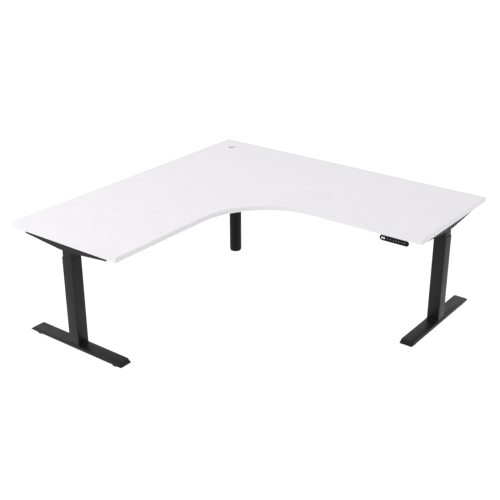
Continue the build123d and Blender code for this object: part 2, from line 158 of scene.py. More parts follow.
def piece(name, solid, finish, body, replaced=(), sharp=40.0):
    """Make a mesh object from a skin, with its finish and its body."""
    points, faces = solid
    mesh = bpy.data.meshes.new(name)
    mesh.from_pydata(np.asarray(points).tolist(), [], faces)
    mesh.validate()
    mesh.shade_smooth()
    mesh.set_sharp_from_angle(angle=math.radians(sharp))
    mesh.materials.append(finish.material)
    thing = bpy.data.objects.new(name, mesh)
    scene.collection.objects.link(thing)
    if body:
        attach(thing, body)
    if replaced:
        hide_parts(*replaced)
    return thing


white = (1, 1, 1, 1)
floor_finish = Finish("floor_finish", Roughness=0.6, Emission_Strength=0.97, Emission_Color=white)
floor_grain = spread(floor_finish.noise(6.0, 3.0), 0.0, 1.0)
floor_finish.feed(Base_Color=floor_finish.blend(floor_grain, (0.11, 0.11, 0.11, 1), (0.13, 0.13, 0.13, 1)))
floor_reach = 14.0
floor_bottom, floor_top = -0.05, -0.0004
floor_square = np.array([[-1, -1], [1, -1], [1, 1], [-1, 1]]) * floor_reach
floor_rings = np.stack([np.c_[floor_square, np.full(4, z)] for z in (floor_bottom, floor_top)])
floor = piece("studio_floor", skin(floor_rings), floor_finish, None)

world = bpy.data.worlds.new("white_tent")
scene.world = world
world.use_nodes = True
world.node_tree.nodes["Background"].inputs["Color"].default_value = white
world.node_tree.nodes["Background"].inputs["Strength"].default_value = 1.0

lamp = bpy.data.lights.new("left_softbox", "AREA")
lamp.shape = "RECTANGLE"
lamp.size = 4.0
lamp.size_y = 3.0
lamp.energy = 84.0
softbox = bpy.data.objects.new("left_softbox", lamp)
softbox.location = (-2.0, -3.6, 3.2)
aim_x, aim_y, aim_z = np.subtract((-0.3, -0.4, 0.6), softbox.location)
dip = math.atan2(aim_z, math.hypot(aim_x, aim_y))
softbox.rotation_euler = (math.pi / 2 + dip, 0, math.atan2(aim_y, aim_x) - math.pi / 2)
scene.collection.objects.link(softbox)

lens = bpy.data.cameras.new("lens")
lens.sensor_width = 36.0
lens.lens = 65.47
lens.clip_end = 60.0
camera = bpy.data.objects.new("camera", lens)
camera.location = (2.6879, -3.5986, 2.4155)
camera.rotation_euler = np.radians((65.913, 0.087, 37.150))
scene.collection.objects.link(camera)
scene.camera = camera


# ---- Feet of the two T-legs ----------------------------------------------------------
# Each foot is one blank of 3 mm sheet, folded down along both sides and at its sloped
# ends, and open below.  It is powder coated matt black, and the column stands on its
# middle.
def black_powder(name, level, sheen=0.22):
    """Polyester powder coat: fine orange peel, faint cloudiness and a satin sheen."""
    finish = Finish(name, IOR=1.5, Specular_IOR_Level=sheen)
    cloud = finish.noise(14.0, 3.0)
    grit = finish.noise(2600.0, 1.0)
    peel = finish.noise(520.0, 2.0)
    dark = tuple(level * share for share in (0.92, 0.92, 0.95)) + (1,)
    pale = tuple(level * share for share in (1.2, 1.2, 1.22)) + (1,)
    finish.feed(Base_Color=finish.blend(spread(cloud, 0.0, 1.0), dark, pale))
    finish.feed(Roughness=spread(cloud, 0.40, 0.48) + (grit - 0.5) * 0.10)
    finish.bump(peel * 0.7 + grit * 0.3, 0.00009)
    return finish


powder_coat = black_powder("powder_coat", 0.006)
# Painted shade: the corner post's coat is a darker, less glossy copy of the powder coat, standing in for the
# shade the post sits in under the worktop.
shaded_post_coat = black_powder("shaded_post_coat", 0.004, sheen=0.12)


def eased(corners, radius, closed=True, steps=4):
    """A polygon's path with each corner turned into an arc.

    The arc is a quadratic curve whose ends lie a radius back along the two sides, or
    nearly half a side where the side is short.  An open path keeps its two ends.
    """
    corners = np.asarray(corners, float)
    count = len(corners)
    path = []
    for i, corner in enumerate(corners):
        if not closed and i in (0, count - 1):
            path.append(corner[None])
            continue
        legs = np.stack([corners[i - 1] - corner, corners[(i + 1) % count] - corner])
        lengths = np.linalg.norm(legs, axis=1, keepdims=True)
        start, end = corner + legs / lengths * np.minimum(radius, lengths * 0.48)
        t = np.linspace(0, 1, steps + 1)[:, None]
        path.append((1 - t) ** 2 * start + 2 * t * (1 - t) * corner + t**2 * end)
    return np.concatenate(path)


def rounded_rectangle(width, depth, radius, steps=6):
    """Anticlockwise loop: four corner centres plus radius times (cos, sin) of the angle."""
    turn = np.linspace(0, math.pi / 2, steps + 1)
    quarter = np.arange(4)[:, None] * math.pi / 2 + turn
    centres = np.array([[1, 1], [-1, 1], [-1, -1], [1, -1]]) * [width / 2 - radius, depth / 2 - radius]
    arcs = centres[:, None] + radius * np.stack([np.cos(quarter), np.sin(quarter)], -1)
    return arcs.reshape(-1, 2)


def stack(section, profile):
    """Rings of a section: ring i is section(grow) at height z, for each (grow, z)."""
    loops = [(section(grow), z) for grow, z in profile]
    return np.stack([np.c_[loop, np.full(len(loop), z)] for loop, z in loops])


def middle_of(node):
    """Centre of a node's box."""
    low, high = (np.array(corner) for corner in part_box(node))
    return (low + high) / 2


def size_of(node):
    """Width, depth and height of a node's box."""
    low, high = (np.array(corner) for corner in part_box(node))
    return high - low


quarter_turns = {"left": 0, "right": 1, "corner": 2}


def stand(solid, leg):
    """A leg's own frame, X along its foot and +Y inboard, turned and put on its axis."""
    points, faces = solid
    x, y, z = np.asarray(points).T
    for _ in range(quarter_turns[leg]):
        x, y = -y, x
    axis = middle_of(f"{leg}_outer_tube")
    return np.stack([x + axis[0], y + axis[1], z], -1), faces


foot_length, foot_width = size_of("left_foot")[:2]
foot_low, foot_high = (corner[2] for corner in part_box("left_foot"))
foot_slope = 0.022
foot_sheet = 0.003
foot_lip = 0.002
foot_corner = 0.006


def foot_ring(inset, z, shorten):
    """Loop round the foot at a height, drawn in by an inset and shortened at both ends."""
    loop = rounded_rectangle(foot_length - 2 * shorten, foot_width - 2 * inset, foot_corner)
    return np.c_[loop, np.full(len(loop), z)]


def foot_skin():
    """Sheet foot: up the outside over the sloped ends to the top, then the same inside.

    Above the lip each end draws in by slope / rise of the height, plus 0.3 of the
    bend's inset.
    """
    run = foot_slope / (foot_high - foot_low - foot_lip)
    climb = [(0, foot_low), (0, foot_low + foot_lip), (0, foot_high - 0.0020),
             (0.0003, foot_high - 0.0009), (0.0010, foot_high - 0.0002), (0.0020, foot_high)]
    outside, inside = [], []
    for k, (inset, z) in enumerate(climb):
        shorten = max(z - foot_low - foot_lip, 0) * run + inset * 0.3
        outside.append(foot_ring(inset, z, shorten))
        inside.append(foot_ring(inset + foot_sheet, z - foot_sheet * (k > 0), shorten + foot_sheet))
    return skin(np.stack(inside[::-1] + outside))


def turned(profile, x=0.0, y=0.0, segments=48):
    """Turned solid: a (radius, z) profile carried round a vertical axis."""
    angle = np.linspace(0, 2 * math.pi, segments, endpoint=False)
    circle = np.stack([np.cos(angle), np.sin(angle)], -1)
    rings = [np.c_[circle * radius + [x, y], np.full(segments, z)] for radius, z in profile]
    return np.stack(rings)


def weld_bead(section, z, width):
    """Fillet weld round a section: a convex bead whose toe ripples along the seam.

    At angle a the bead stands out by width * cos(a)^1.3 and up by width * sin(a)^1.3.
    """
    count = len(section(0))
    ripple = 1 + 0.10 * np.sin(np.arange(count) * 2.1) + 0.06 * np.sin(np.arange(count) * 5.3)
    under = section(-0.001)
    rings = [np.c_[under, np.full(count, z)]]
    for a in np.linspace(0, math.pi / 2, 5):
        rings.append(np.c_[section(width * math.cos(a) ** 1.3), z + width * math.sin(a) ** 1.3 * ripple])
    rings.append(np.c_[under, np.full(count, z + width)])
    return skin(np.stack(rings), wrap=True)


tube_width, tube_depth = size_of("left_outer_tube")[:2]
tube_corner = 0.004


def square_tube(grow):
    """The T-legs' outer tube section, grown by an offset."""
    return rounded_rectangle(tube_width + 2 * grow, tube_depth + 2 * grow, max(tube_corner + grow, 0.001))


def surface(*solids):
    """One mesh's corners and faces from several skins."""
    corners, faces = [], []
    for points, polygons in solids:
        start = sum(len(c) for c in corners)
        corners.append(points)
        faces += [[start + i for i in polygon] for polygon in polygons]
    return np.concatenate(corners), faces


boss_places = [middle_of(f"left_glide_{end}") for end in ("front", "back")]
boss_offset = np.linalg.norm(boss_places[0] - boss_places[1]) / 2
boss_bore, boss_radius = 0.0041, 0.009
boss_top = foot_high - foot_sheet
boss = [(boss_bore, foot_low), (boss_radius - 0.0005, foot_low), (boss_radius, foot_low + 0.0005),
        (boss_radius, boss_top), (boss_bore, boss_top)]
bosses = [skin(turned(boss, x=side * boss_offset), wrap=True) for side in (-1, 1)]
seam = weld_bead(square_tube, foot_high, 0.0028)
for leg in ("left", "right"):
    piece(f"{leg}_sheet_foot", stand(surface(foot_skin(), *bosses, seam), leg), powder_coat,
          f"{leg}_base", [f"{leg}_foot"])


# ---- Levelling glides ----------------------------------------------------------------
# A ribbed rubber pad moulded on a zinc-plated steel stem, which screws into the foot.
# The corner leg has one large pad on a thicker stem.
rubber = Finish("pad_rubber", Roughness=0.72)
rubber_dust = spread(rubber.noise(90.0, 3.0), 0.0, 1.0)
rubber.feed(Base_Color=rubber.blend(rubber_dust, (0.012, 0.012, 0.012, 1), (0.028, 0.027, 0.026, 1)))
rubber.bump(rubber.noise(1400.0, 2.0), 0.00012)

zinc = Finish("zinc_plate", Metallic=1.0)
zinc_cloud = zinc.noise(160.0, 3.0)
zinc.feed(Base_Color=zinc.blend(spread(zinc_cloud, 0.0, 1.0), (0.46, 0.47, 0.50, 1), (0.66, 0.66, 0.64, 1)))
zinc.feed(Roughness=spread(zinc_cloud, 0.26, 0.42))
zinc.bump(zinc.noise(2100.0, 2.0), 0.00003)


def threaded(radius, low, high, pitch, depth, segments=32, per_turn=6):
    """Screw: the radius dips once each pitch, and the dip climbs one pitch round the axis.

    r = radius - depth * (1 - |cos(pi * (z / pitch - angle / 2 pi))|), fading to a plain
    end at both ends.
    """
    stations = max(int((high - low) / pitch * per_turn), 8)
    z = np.linspace(low, high, stations)[:, None]
    angle = np.linspace(0, 2 * math.pi, segments, endpoint=False)[None]
    wave = np.abs(np.cos(math.pi * (z / pitch - angle / (2 * math.pi))))
    ends = np.clip(np.minimum(z - low, high - z) / pitch, 0, 1)
    r = radius - depth * (1 - wave) * ends
    return np.stack([r * np.cos(angle), r * np.sin(angle), np.broadcast_to(z, r.shape)], -1)


pad_thickness = 0.009
rib_depth = 0.0012
rib_start = 0.0012
rib_reach = 0.0045
glide_pitch = 0.00125
glide_thread = 0.0006


def pad_profile(radius):
    """Ribbed rim, nine places deep and shallow by turns, and a rounded upper edge."""
    ribs = [(radius - rib_depth * (k % 2), rib_start + (pad_thickness - rib_reach) * k / 8) for k in range(9)]
    top = [(radius - 0.0007, pad_thickness - 0.0012), (radius - 0.002, pad_thickness - 0.0003),
           (radius - 0.004, pad_thickness)]
    return [(radius - 0.001, 0.0), *ribs, *top]


for node in ("left_glide_front", "left_glide_back", "right_glide_front", "right_glide_back", "corner_foot"):
    spot = middle_of(node) * (1, 1, 0)
    width, _, tall = size_of(node)
    stem = 0.005 if node == "corner_foot" else 0.004
    pad, pad_faces = skin(turned(pad_profile(width / 2)))
    screw, screw_faces = skin(threaded(stem, pad_thickness - 0.0002, tall, glide_pitch, glide_thread))
    piece(f"{node}_pad", (pad + spot, pad_faces), rubber, node, [node])
    piece(f"{node}_stem", (screw + spot, screw_faces), zinc, node)


# ---- Telescopic columns --------------------------------------------------------------
# Each leg is three steel tubes, one inside the next.  The T-legs' tubes are rounded
# rectangles and the corner leg's are round.  All are powder coated, and a moulded nylon
# guide with a collar sits in the mouth of the outer tube.
post_radius = size_of("corner_outer_tube")[0] / 2


def round_tube(grow, segments=96):
    """The corner leg's outer tube section, grown by an offset."""
    angle = np.linspace(0, 2 * math.pi, segments, endpoint=False)
    return np.stack([np.cos(angle), np.sin(angle)], -1) * (post_radius + grow)


nylon = Finish("black_nylon", IOR=1.53)
nylon_flow = nylon.noise(60.0, 2.0)
nylon_tone = spread(nylon_flow, 0.0, 1.0)
nylon.feed(Base_Color=nylon.blend(nylon_tone, (0.014, 0.014, 0.015, 1), (0.022, 0.022, 0.023, 1)))
nylon.feed(Roughness=spread(nylon_flow, 0.42, 0.56))
nylon.bump(nylon.noise(900.0, 2.0), 0.00008)

sections = {"left": square_tube, "right": square_tube, "corner": round_tube}


def tube_skin(section, outside, wall, low, high, ease=0.0005):
    """Tube: its wall's rectangle, with eased rims, carried round the section."""
    wall_profile = [(outside, low), (outside, high), (outside - wall, high), (outside - wall, low)]
    return skin(stack(section, eased(wall_profile, ease, steps=2)), wrap=True)


tube_wall = 0.002
inner_wall = 0.0018
to_guide = 0.0037
to_middle = 0.004
to_inner = 0.0063
base_plate = 0.004
for leg, section in sections.items():
    low, high = (corner[2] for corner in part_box(f"{leg}_outer_tube"))
    plate = stack(section, [(-tube_wall, low), (-tube_wall, low + base_plate)])
    solid = surface(tube_skin(section, 0.0, tube_wall, low, high), skin(plate))
    # The corner leg's outer tube takes the darker copy of the coat, as painted shade.
    coat = shaded_post_coat if leg == "corner" else powder_coat
    piece(f"{leg}_outer_column", stand(solid, leg), coat, f"{leg}_base", [f"{leg}_outer_tube"])

    bush_low, bush_high = (corner[2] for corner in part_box(f"{leg}_outer_bush"))
    collar = [(-tube_wall, bush_low), (-tube_wall, high), (0.0, high), (0.0, bush_high),
              (-to_guide, bush_high), (-to_guide, bush_low)]
    guide = skin(stack(section, eased(collar, 0.0004, steps=2)), wrap=True)
    piece(f"{leg}_column_guide", stand(guide, leg), nylon, f"{leg}_base",
          [f"{leg}_outer_bush"])

    low, high = (corner[2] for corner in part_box(f"{leg}_middle_tube"))
    solid = tube_skin(section, -to_middle, tube_wall, low, high)
    piece(f"{leg}_middle_column", stand(solid, leg), powder_coat, f"{leg}_middle",
          [f"{leg}_middle_tube"])

    low, high = (corner[2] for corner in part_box(f"{leg}_inner_tube"))
    solid = tube_skin(section, -to_inner, inner_wall, low, high)
    piece(f"{leg}_inner_column", stand(solid, leg), powder_coat, "top", [f"{leg}_inner_tube"])


# ---- Spindle drives ------------------------------------------------------------------
# In each leg a motor turns a solid screw through a worm gear.  That screw runs in a
# hollow screw, which climbs through a nut on a post.  Screws are rolled bright steel with
# a film of grease; the gear housing is die-cast alloy and the motor a painted steel can.
bright_steel = Finish("greased_steel", Metallic=1.0, Coat_Roughness=0.12)
grease = bright_steel.noise(70.0, 3.0)
grease_tone = spread(grease, 0.0, 1.0)
bright_steel.feed(Base_Color=bright_steel.blend(grease_tone, (0.40, 0.40, 0.41, 1), (0.58, 0.56, 0.52, 1)))
bright_steel.feed(Roughness=spread(grease, 0.18, 0.34), Coat_Weight=spread(grease, 0.2, 0.8))

cast_alloy = Finish("cast_alloy", Metallic=1.0)
cast_cloud = cast_alloy.noise(45.0, 4.0)
cast_tone = spread(cast_cloud, 0.0, 1.0)
cast_alloy.feed(Base_Color=cast_alloy.blend(cast_tone, (0.30, 0.31, 0.33, 1), (0.44, 0.45, 0.47, 1)))
cast_alloy.feed(Roughness=spread(cast_cloud, 0.44, 0.60))
cast_alloy.bump(cast_alloy.noise(750.0, 3.0), 0.00022)

motor_paint = black_powder("motor_paint", 0.03)


def along_y(solid, centre_z):
    """A solid turned about Z, laid down so that its own +Z points inboard, along +Y."""
    points, faces = solid
    x, y, z = np.asarray(points).T
    return np.stack([-x, z, y + centre_z], -1), faces


spindle_pitch = 0.005
thread_depth = 0.0009
solid_radius, hollow_radius, hollow_bore = 0.007, 0.011, 0.008
running_fit = 0.00705
head_radius, head_height = 0.015, 0.020
post_bore, post_outside, post_nut_bore = 0.013, 0.017, 0.01105
can_start, can_end = 0.036, 0.148
bands = ((0.050, 0.055), (0.128, 0.133))
groove = 0.001
case_width, case_depth, case_corner = 0.064, 0.068, 0.006
case_shift = 0.002
waist = 0.0015


def can_profile(radius):
    """Motor can's side: two shallow grooves, then the smaller end bell."""
    side = [(radius, can_start)]
    groove_floor = radius - groove
    for start, end in bands:
        side += [(radius, start), (groove_floor, start + groove), (groove_floor, end - groove), (radius, end)]
    bell = [(radius, can_end), (radius - 0.004, can_end), (radius - 0.004, 0.153), (radius - 0.006, 0.154)]
    return side + bell


def case_loop(grow):
    """Gear case's section, grown by an offset."""
    return rounded_rectangle(case_width + 2 * grow, case_depth + 2 * grow, case_corner) + [0, case_shift]


def rib_skin(x, low, high):
    """Upright cooling rib on the case's outboard side."""
    rib = rounded_rectangle(0.003, 0.0012, 0.0004) + [x, case_shift + 0.0005 - case_depth / 2]
    return skin(stack(lambda grow: rib, [(0.0, low + 0.013), (0.0, high - 0.011)]))


for leg in sections:
    low, high = (corner[2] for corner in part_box(f"{leg}_upper_spindle"))
    screw = skin(threaded(solid_radius, low, high, spindle_pitch, thread_depth))
    piece(f"{leg}_solid_screw", stand(screw, leg), bright_steel, f"{leg}_upper_screw",
          [f"{leg}_upper_spindle"])

    low, high = (corner[2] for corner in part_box(f"{leg}_lower_spindle"))
    head = high - head_height
    outer = threaded(hollow_radius, low, head, spindle_pitch, thread_depth)
    bore = turned([(hollow_bore, head), (hollow_bore, low)], segments=32)
    nut = [(running_fit, head), (head_radius, head), (head_radius, high), (running_fit, high)]
    nut = turned(eased(nut, 0.0008, steps=2), segments=32)
    hollow = surface(skin(np.concatenate([outer, bore]), wrap=True), skin(nut, wrap=True))
    piece(f"{leg}_hollow_screw", stand(hollow, leg), bright_steel, f"{leg}_lower_screw",
          [f"{leg}_lower_spindle"])

    low, high = (corner[2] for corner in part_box(f"{leg}_nut_post"))
    seat = high - head_height
    post = [(post_bore, low), (post_outside, low), (post_outside, seat - 0.001),
            (post_outside - 0.0005, seat), (post_outside, seat + 0.001), (post_outside, high),
            (post_nut_bore, high), (post_nut_bore, seat), (post_bore, seat)]
    solid = skin(turned(eased(post, 0.0004, steps=2)), wrap=True)
    piece(f"{leg}_post_tube", stand(solid, leg), zinc, f"{leg}_base", [f"{leg}_nut_post"])

    low, high = (corner[2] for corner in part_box(f"{leg}_motor"))
    side = eased(can_profile((high - low) / 2), 0.0006, closed=False, steps=2)
    can = along_y(skin(turned(side, segments=64)), (low + high) / 2)
    piece(f"{leg}_motor_can", stand(can, leg), motor_paint, "top", [f"{leg}_motor"])

    low, high = (corner[2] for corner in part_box(f"{leg}_gear_housing"))
    profile = [(-0.02, low), (0.0, low), (0.0, low + 0.012), (-waist, low + 0.014), (-waist, high - 0.012),
               (0.0, high - 0.010), (0.0, high), (-0.02, high)]
    block = skin(stack(case_loop, eased(profile, 0.0008, closed=False, steps=2)))
    ribs = [rib_skin(x, low, high) for x in (-0.018, -0.006, 0.006, 0.018)]
    piece(f"{leg}_gear_case", stand(surface(block, *ribs), leg), cast_alloy, "top",
          [f"{leg}_gear_housing"])


# ---- Side brackets -------------------------------------------------------------------
# A folded channel lies across each arm: its web is screwed to the board, and its two
# walls taper straight from the column to the ends.  The inboard wall is notched for the
# motor.
bracket_size = size_of("left_bracket")
bracket_half = bracket_size[0] / 2
bracket_edge = bracket_size[1] / 2
bracket_depth = bracket_size[2]
bracket_end = 0.0295
bracket_flat = 0.040
bracket_tip = 0.003
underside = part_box("left_bracket")[1][2]
steel = 0.003
notch_half = 0.026
notch_depth = steel + 0.0045


def wall_depth(x):
    """Depth of the walls: level below the column, a straight taper, and a rounded tip.

    The tip is a quarter circle: it rises by r - sqrt(r^2 - d^2), where d is how far
    past the start of the tip the place is.
    """
    run = np.clip((np.abs(x) - bracket_flat) / (bracket_half - bracket_flat), 0, 1)
    past = np.clip(np.abs(x) - (bracket_half - bracket_tip), 0, bracket_tip)
    taper = bracket_depth - (bracket_depth - bracket_end) * run
    return taper - bracket_tip + np.sqrt(bracket_tip**2 - past**2)


def bend(y, z, radius, start):
    """Quarter of a circle about (y, z), anticlockwise from a starting angle."""
    angle = start + np.linspace(0, math.pi / 2, 5)
    return np.stack([y + radius * np.cos(angle), z + radius * np.sin(angle)], -1)


def channel_loop(depth_out, depth_in):
    """Channel section in (y, z), anticlockwise as seen from +X, with bent corners."""
    outer, inner, nick = 0.0045, 0.0015, 0.0004
    y, top = bracket_edge, underside
    low_in, low_out = top - depth_in, top - depth_out
    return np.concatenate([
        [[y, low_in + nick]],
        bend(y - outer, top - outer, outer, 0),
        bend(-y + outer, top - outer, outer, math.pi / 2),
        [[-y, low_out + nick], [-y + nick, low_out]],
        [[-y + steel - nick, low_out], [-y + steel, low_out + nick]],
        bend(-y + steel + inner, top - steel - inner, inner, math.pi / 2)[::-1],
        bend(y - steel - inner, top - steel - inner, inner, 0)[::-1],
        [[y - steel, low_in + nick], [y - steel + nick, low_in], [y - nick, low_in]],
    ])


def bracket_skin():
    """Channel carried along X, its wall depths following the taper."""
    tip = bracket_half - bracket_tip * (1 - np.sin(np.linspace(0, math.pi / 2, 6)))
    half = np.concatenate([[notch_half, notch_half + 1e-5, bracket_flat], np.linspace(0.06, 0.28, 12), tip])
    rings = []
    for x in np.concatenate([-half[::-1], half]):
        depth_in = notch_depth if abs(x) <= notch_half else wall_depth(x)
        loop = channel_loop(wall_depth(x), depth_in)
        rings.append(np.c_[np.full(len(loop), x), loop])
    return skin(np.stack(rings))


for leg in ("left", "right"):
    piece(f"{leg}_channel", stand(bracket_skin(), leg), powder_coat, "top", [f"{leg}_bracket"],
          sharp=35)


# ---- Corner plate and beams ----------------------------------------------------------
# The corner plate is a folded tray that ties the two arms of the frame together.  From
# it two pairs of rectangular tubes run under each arm; a smaller tube slides out of each
# and is bolted to its side bracket.
def softened(node, width, finish, body, name):
    """A copy of a node's own mesh, joined up and with its edges bevelled by a width."""
    copy = bpy.data.objects.new(name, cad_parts[node].data.copy())
    scene.collection.objects.link(copy)
    solid = bmesh.new()
    solid.from_mesh(copy.data)
    bmesh.ops.remove_doubles(solid, verts=solid.verts, dist=1e-6)
    bmesh.ops.dissolve_limit(solid, angle_limit=math.radians(0.5), verts=solid.verts, edges=solid.edges)
    solid.to_mesh(copy.data)
    solid.free()
    copy.data.materials.clear()
    copy.data.materials.append(finish.material)
    copy.data.shade_smooth()
    copy.data.set_sharp_from_angle(angle=math.radians(30))
    bevel = copy.modifiers.new("eased_edges", "BEVEL")
    bevel.width = width
    bevel.segments = 2
    bevel.limit_method = "ANGLE"
    bevel.angle_limit = math.radians(35)
    bevel.harden_normals = True
    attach(copy, body)
    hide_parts(node)


softened("corner_hub", 0.0006, powder_coat, "top", "corner_plate")

beam_offset = 0.1
beam_corner = 0.003
beam_wall = 0.002
plate_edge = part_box("corner_hub")[0][1]
arm_line = middle_of("left_outer_tube")[0]


def beam_skins(node, width, height, end):
    """Four straight tubes with rounded corners, one in each of the node's beams.

    Two run along Y under the left arm, from the node's own start to an end; the other
    two are those turned over the desk's diagonal, (x, y) to (-y, -x).
    """
    _, start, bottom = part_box(node)[0]
    profile = eased([(0, start), (0, end), (-beam_wall, end), (-beam_wall, start)], 0.0004, steps=1)
    solids = []
    for offset in (beam_offset, -beam_offset):
        loops = []
        for grow, along in profile:
            corner = max(beam_corner + grow, 0.0008)
            x, z = rounded_rectangle(width + 2 * grow, height + 2 * grow, corner, 3).T
            ring = [arm_line + offset - x, np.full(len(x), along), z + bottom + height / 2]
            loops.append(np.stack(ring, -1))
        points, faces = skin(np.stack(loops), wrap=True)
        turned_over = np.stack([-points[:, 1], -points[:, 0], points[:, 2]], -1)
        solids += [(points, faces), (turned_over, [face[::-1] for face in faces])]
    return surface(*solids)


piece("beam_outer_tubes", beam_skins("beam_sleeves", 0.030, 0.040, plate_edge), powder_coat, "top",
      ["beam_sleeves"])
piece("beam_inner_tubes", beam_skins("beam_rails", 0.0254, 0.0354, plate_edge - 0.42), powder_coat, "top",
      ["beam_rails"])
softened("beam_bolts", 0.0004, zinc, "top", "beam_clamp_bolts")
softened("worktop_screws", 0.0003, zinc, "top", "board_screws")


# ---- Worktop -------------------------------------------------------------------------
# A 25 mm particle board faced with white melamine, cut to an L with one concave front
# curve, and closed all round by a glued plastic band with eased edges.
laminate = Finish("white_laminate", IOR=1.45, Specular_IOR_Level=0.18)
mottle = laminate.noise(9.0, 4.0)
pearl = laminate.noise(1500.0, 2.0)
laminate_tone = spread(mottle, 0.0, 1.0)
laminate.feed(Base_Color=laminate.blend(laminate_tone, (0.716, 0.703, 0.724, 1), (0.736, 0.723, 0.744, 1)))
laminate.feed(Roughness=spread(mottle, 0.56, 0.62) + (pearl - 0.5) * 0.12)
laminate.bump(pearl, 0.00004)
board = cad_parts["worktop_panel"]
board.data.materials.clear()
board.data.materials.append(laminate.material)

# Painted shade: the band's white is set darker than the laminate's to stand in for the shade on the board's
# upright sides; its faint streaks are the band's own.
shaded_band_finish = Finish("edge_band", IOR=1.5)
band_streak = shaded_band_finish.noise(40.0, 3.0, stretch=(1, 1, 60))
band_tone = spread(band_streak, 0.0, 1.0)
shaded_band_finish.feed(Base_Color=shaded_band_finish.blend(band_tone, (0.640, 0.632, 0.648, 1), (0.662, 0.654, 0.670, 1)))
shaded_band_finish.feed(Roughness=spread(band_streak, 0.36, 0.44))
shaded_band_finish.bump(shaded_band_finish.noise(700.0, 2.0), 0.00003)

board_half, _, band_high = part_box("edge_banding")[1]
band_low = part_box("edge_banding")[0][2]
front_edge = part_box("handset_case")[0][1]
curve_radius = 0.410
board_corner = 0.006
band = 0.002
ease = 0.0012


def board_outline(inset):
    """The L, anticlockwise: six corners, each an arc about its centre, drawn in by an inset.

    Five corners turn outwards with the radius less the inset; the hollow one turns
    the other way with the radius plus the inset, in 64 steps.
    """
    far, near = board_half, front_edge
    outward = [(-far, -far, 180), (-near, -far, 270), (far, near, 270), (far, far, 0), (-far, far, 90)]
    arcs = []
    for x, y, start in outward:
        angle = math.radians(start) + np.linspace(0, math.pi / 2, 7)
        bisector = math.radians(start + 45)
        back = math.sqrt(2) * board_corner
        centre = np.array([x - back * math.cos(bisector), y - back * math.sin(bisector)])
        arcs.append(centre + (board_corner - inset) * np.stack([np.cos(angle), np.sin(angle)], -1))
    angle = math.pi - np.linspace(0, math.pi / 2, 65)
    centre = np.array([-near + curve_radius, near - curve_radius])
    hollow = centre + (curve_radius + inset) * np.stack([np.cos(angle), np.sin(angle)], -1)
    return np.concatenate([*arcs[:2], hollow, *arcs[2:]])


band_profile = eased([(band, band_low), (0, band_low), (0, band_high), (band, band_high)], ease, steps=4)
piece("edge_band", skin(stack(board_outline, band_profile), wrap=True), shaded_band_finish, "top",
      ["edge_banding"])


# ---- Grommet -------------------------------------------------------------------------
# A moulded liner pressed into a 60 mm hole, with a thin flange on the worktop, and a
# cap that turns in it to open or close a cable slot.
grommet_white = Finish("grommet_liner", IOR=1.5, Roughness=0.28)
liner_tone = spread(grommet_white.noise(40.0, 2.0), 0.0, 1.0)
grommet_white.feed(Base_Color=grommet_white.blend(liner_tone, (0.80, 0.79, 0.81, 1), (0.84, 0.83, 0.85, 1)))
grommet_white.bump(grommet_white.noise(900.0, 2.0), 0.00002)

grommet_grey = Finish("grommet_cap_grey", IOR=1.5, Roughness=0.34)
cap_tone = spread(grommet_grey.noise(40.0, 2.0), 0.0, 1.0)
grommet_grey.feed(Base_Color=grommet_grey.blend(cap_tone, (0.46, 0.46, 0.47, 1), (0.52, 0.52, 0.53, 1)))
grommet_grey.bump(grommet_grey.noise(1100.0, 2.0), 0.00003)

liner_x, liner_y, _ = middle_of("grommet_ring")
liner_low, liner_high = (corner[2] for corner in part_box("grommet_ring"))
flange = size_of("grommet_ring")[0] / 2
rebate = band_high - 0.0008
hole, liner_bore, ledge = 0.030, 0.028, 0.025
ledge_high = liner_low + 0.014
liner_profile = [(ledge, liner_low), (hole, liner_low), (hole, rebate), (flange, rebate),
                 (flange - 0.0012, liner_high), (liner_bore, liner_high), (liner_bore, ledge_high),
                 (ledge, ledge_high)]
liner = turned(eased(liner_profile, 0.0006, steps=3), liner_x, liner_y, segments=96)
piece("grommet_liner", skin(liner, wrap=True), grommet_white, "top", ["grommet_ring"])

slot_radius = 0.015
slot_centre = -0.021


def cap_loop(grow):
    """Cap's edge: the rim's arc, then the slot's arc bitten out of it.

    With r the rim, b the bite and c the slot's centre, the arcs meet at the height
    (r^2 - b^2 + c^2) / 2c.
    """
    rim, bite = size_of("grommet_cap")[0] / 2 + grow, slot_radius - grow
    reach_y = (rim**2 - bite**2 + slot_centre**2) / (2 * slot_centre)
    half_width = math.sqrt(rim**2 - reach_y**2)
    begin = math.atan2(reach_y, half_width)
    outside = np.linspace(begin, math.pi - begin, 97)
    from_slot = math.atan2(reach_y - slot_centre, half_width)
    inside = np.linspace(math.pi - from_slot, from_slot, 41)[1:-1]
    return np.concatenate([
        rim * np.stack([np.cos(outside), np.sin(outside)], -1),
        [0, slot_centre] + bite * np.stack([np.cos(inside), np.sin(inside)], -1),
    ])


cap_low, cap_high = (corner[2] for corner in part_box("grommet_cap"))
cap_dish = cap_high - 0.0006
cap_profile = [(-0.0005, cap_low), (0, cap_low + 0.0005), (0, cap_high - 0.0009), (-0.0009, cap_high),
               (-0.004, cap_high), (-0.005, cap_dish), (-0.006, cap_dish)]
cap_rings = stack(cap_loop, eased(cap_profile, 0.0004, closed=False, steps=2)) + [liner_x, liner_y, 0]
piece("cable_cap", skin(cap_rings), grommet_grey, "grommet_cap", ["grommet_cap"])


# ---- Handset -------------------------------------------------------------------------
# A pill-shaped black keypad hangs under the right arm's front edge.  A clear window at
# its left shows the height in lit figures, and seven round keys stand beside it.
handset_black = Finish("handset_black", IOR=1.5, Specular_IOR_Level=0.12)
case_cloud = handset_black.noise(70.0, 2.0)
case_tone = spread(case_cloud, 0.0, 1.0)
handset_black.feed(Base_Color=handset_black.blend(case_tone, (0.003, 0.003, 0.0034, 1),
                                                  (0.005, 0.005, 0.0054, 1)))
handset_black.feed(Roughness=spread(case_cloud, 0.34, 0.44))
handset_black.bump(handset_black.noise(1700.0, 2.0), 0.00004)
softened("handset_case", 0.0004, handset_black, "top", "handset_shell")

